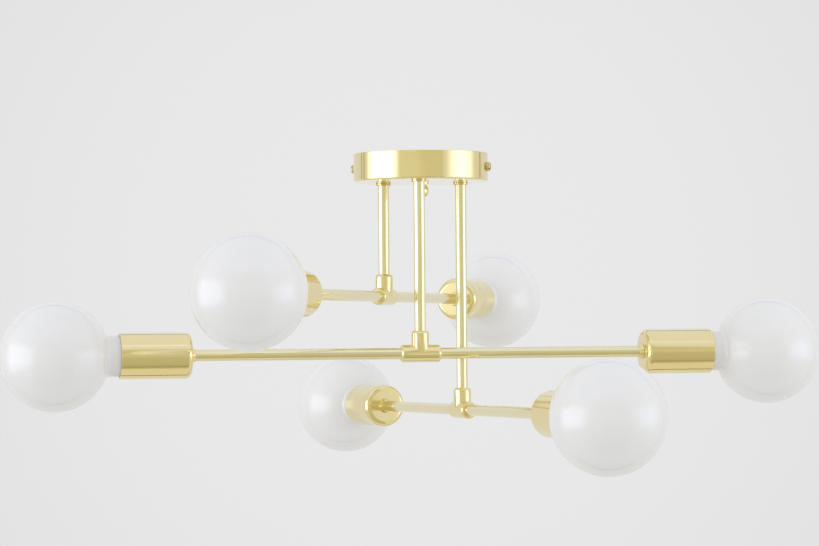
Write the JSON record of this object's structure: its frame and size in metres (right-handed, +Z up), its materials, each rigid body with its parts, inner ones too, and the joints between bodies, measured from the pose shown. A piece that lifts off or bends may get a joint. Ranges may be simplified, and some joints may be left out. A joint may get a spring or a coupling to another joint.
{
  "type": "sputnik chandelier",
  "caption": "Ceiling light: a round canopy, stems of stepped length that turn in it, and on each stem opposite arms that end in lamp cups with opal globe lamps.",
  "frame": {"origin": "centre of the canopy's rim, on the ceiling, which is the top face of the bracket", "axes": "+Z up into the ceiling, +X along the ceiling bracket and its side screws, +Y across it"},
  "size_m": [0.6727, 0.7309, 0.276],
  "materials": {
    "polished_brass": "polished, lacquered",
    "zinc_steel": "zinc plated",
    "white_plastic": "moulded",
    "contact_brass": "plain",
    "holder_plastic": "moulded",
    "opal_glass": "opal, glossy",
    "base_metal": "plated",
    "cable_sheath": "smooth sheath"
  },
  "bodies": {
    "ceiling_mount": {"canopy": "polished_brass", "ball_finial": "polished_brass", "finial_lock_nut": "zinc_steel", "ceiling_bracket": "zinc_steel", "side_screws": "polished_brass", "terminal_block": "white_plastic", "terminal_inserts": "contact_brass", "bracket_screws": "zinc_steel", "swivel_bushes": "polished_brass", "bush_nuts": "zinc_steel", "canopy_wiring": "cable_sheath"},
    "upper_tier": {"upper_stem": "polished_brass", "upper_stem_nut": "zinc_steel", "upper_tee": "polished_brass", "upper_arm_left": "polished_brass", "upper_arm_right": "polished_brass", "upper_cup_left": "polished_brass", "upper_cup_right": "polished_brass", "upper_lamp_holder_left": "holder_plastic", "upper_lamp_holder_right": "holder_plastic", "upper_globe_left": "opal_glass", "upper_globe_right": "opal_glass", "upper_arm_collars": "polished_brass", "upper_holder_contacts": "contact_brass", "upper_lamp_bases": "base_metal", "upper_lamp_leds": "white_plastic", "upper_wiring": "cable_sheath"},
    "middle_tier": {"middle_stem": "polished_brass", "middle_stem_nut": "zinc_steel", "middle_tee": "polished_brass", "middle_arm_left": "polished_brass", "middle_arm_right": "polished_brass", "middle_cup_left": "polished_brass", "middle_cup_right": "polished_brass", "middle_lamp_holder_left": "holder_plastic", "middle_lamp_holder_right": "holder_plastic", "middle_globe_left": "opal_glass", "middle_globe_right": "opal_glass", "middle_arm_collars": "polished_brass", "middle_holder_contacts": "contact_brass", "middle_lamp_bases": "base_metal", "middle_lamp_leds": "white_plastic", "middle_wiring": "cable_sheath"},
    "lower_tier": {"lower_stem": "polished_brass", "lower_stem_nut": "zinc_steel", "lower_tee": "polished_brass", "lower_arm_left": "polished_brass", "lower_arm_right": "polished_brass", "lower_cup_left": "polished_brass", "lower_cup_right": "polished_brass", "lower_lamp_holder_left": "holder_plastic", "lower_lamp_holder_right": "holder_plastic", "lower_globe_left": "opal_glass", "lower_globe_right": "opal_glass", "lower_arm_collars": "polished_brass", "lower_holder_contacts": "contact_brass", "lower_lamp_bases": "base_metal", "lower_lamp_leds": "white_plastic", "lower_wiring": "cable_sheath"}
  },
  "joints": [
    {"name": "upper_arm_swivel", "type": "hinge", "parent": "ceiling_mount", "child": "upper_tier", "pos_m": [-0.03759, 0.01368, -0.1265], "axis": [0, 0, 1], "range_deg": [-15, 30]},
    {"name": "middle_arm_swivel", "type": "hinge", "parent": "ceiling_mount", "child": "middle_tier", "pos_m": [0.00695, -0.03939, -0.1775], "axis": [0, 0, 1], "range_deg": [-25, 15]},
    {"name": "lower_arm_swivel", "type": "hinge", "parent": "ceiling_mount", "child": "lower_tier", "pos_m": [0.03064, 0.02571, -0.2285], "axis": [0, 0, 1], "range_deg": [-45, 25]}
  ]
}
